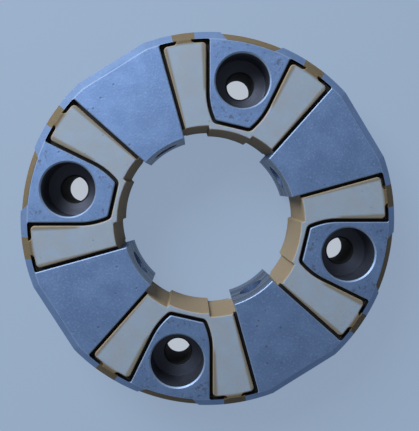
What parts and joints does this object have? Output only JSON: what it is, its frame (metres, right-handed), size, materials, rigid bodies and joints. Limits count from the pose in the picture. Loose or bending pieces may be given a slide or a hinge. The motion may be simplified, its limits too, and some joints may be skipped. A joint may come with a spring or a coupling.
{
  "type": "disc coupling",
  "caption": "Torsionally stiff disc coupling: aluminium inserts for axial and radial bolts, alternating in a ring and joined by moulded cream polymer loops.",
  "frame": {"origin": "on the axis of rotation, at the back face that bolts to the flange", "axes": "+Z along the axis of rotation, towards the front with the counterbores; +X and +Y through two axial bolts"},
  "size_m": [0.2088, 0.2088, 0.046],
  "materials": {
    "aluminium": "matt as cast, machined in the bores",
    "polymer": "satin moulded"
  },
  "bodies": {
    "root": {"axial_insert_1": "aluminium", "axial_insert_2": "aluminium", "axial_insert_3": "aluminium", "axial_insert_4": "aluminium", "radial_insert_1": "aluminium", "radial_insert_2": "aluminium", "radial_insert_3": "aluminium", "radial_insert_4": "aluminium", "polymer_loop_1": "polymer", "polymer_loop_2": "polymer", "polymer_loop_3": "polymer", "polymer_loop_4": "polymer"}
  },
  "joints": []
}
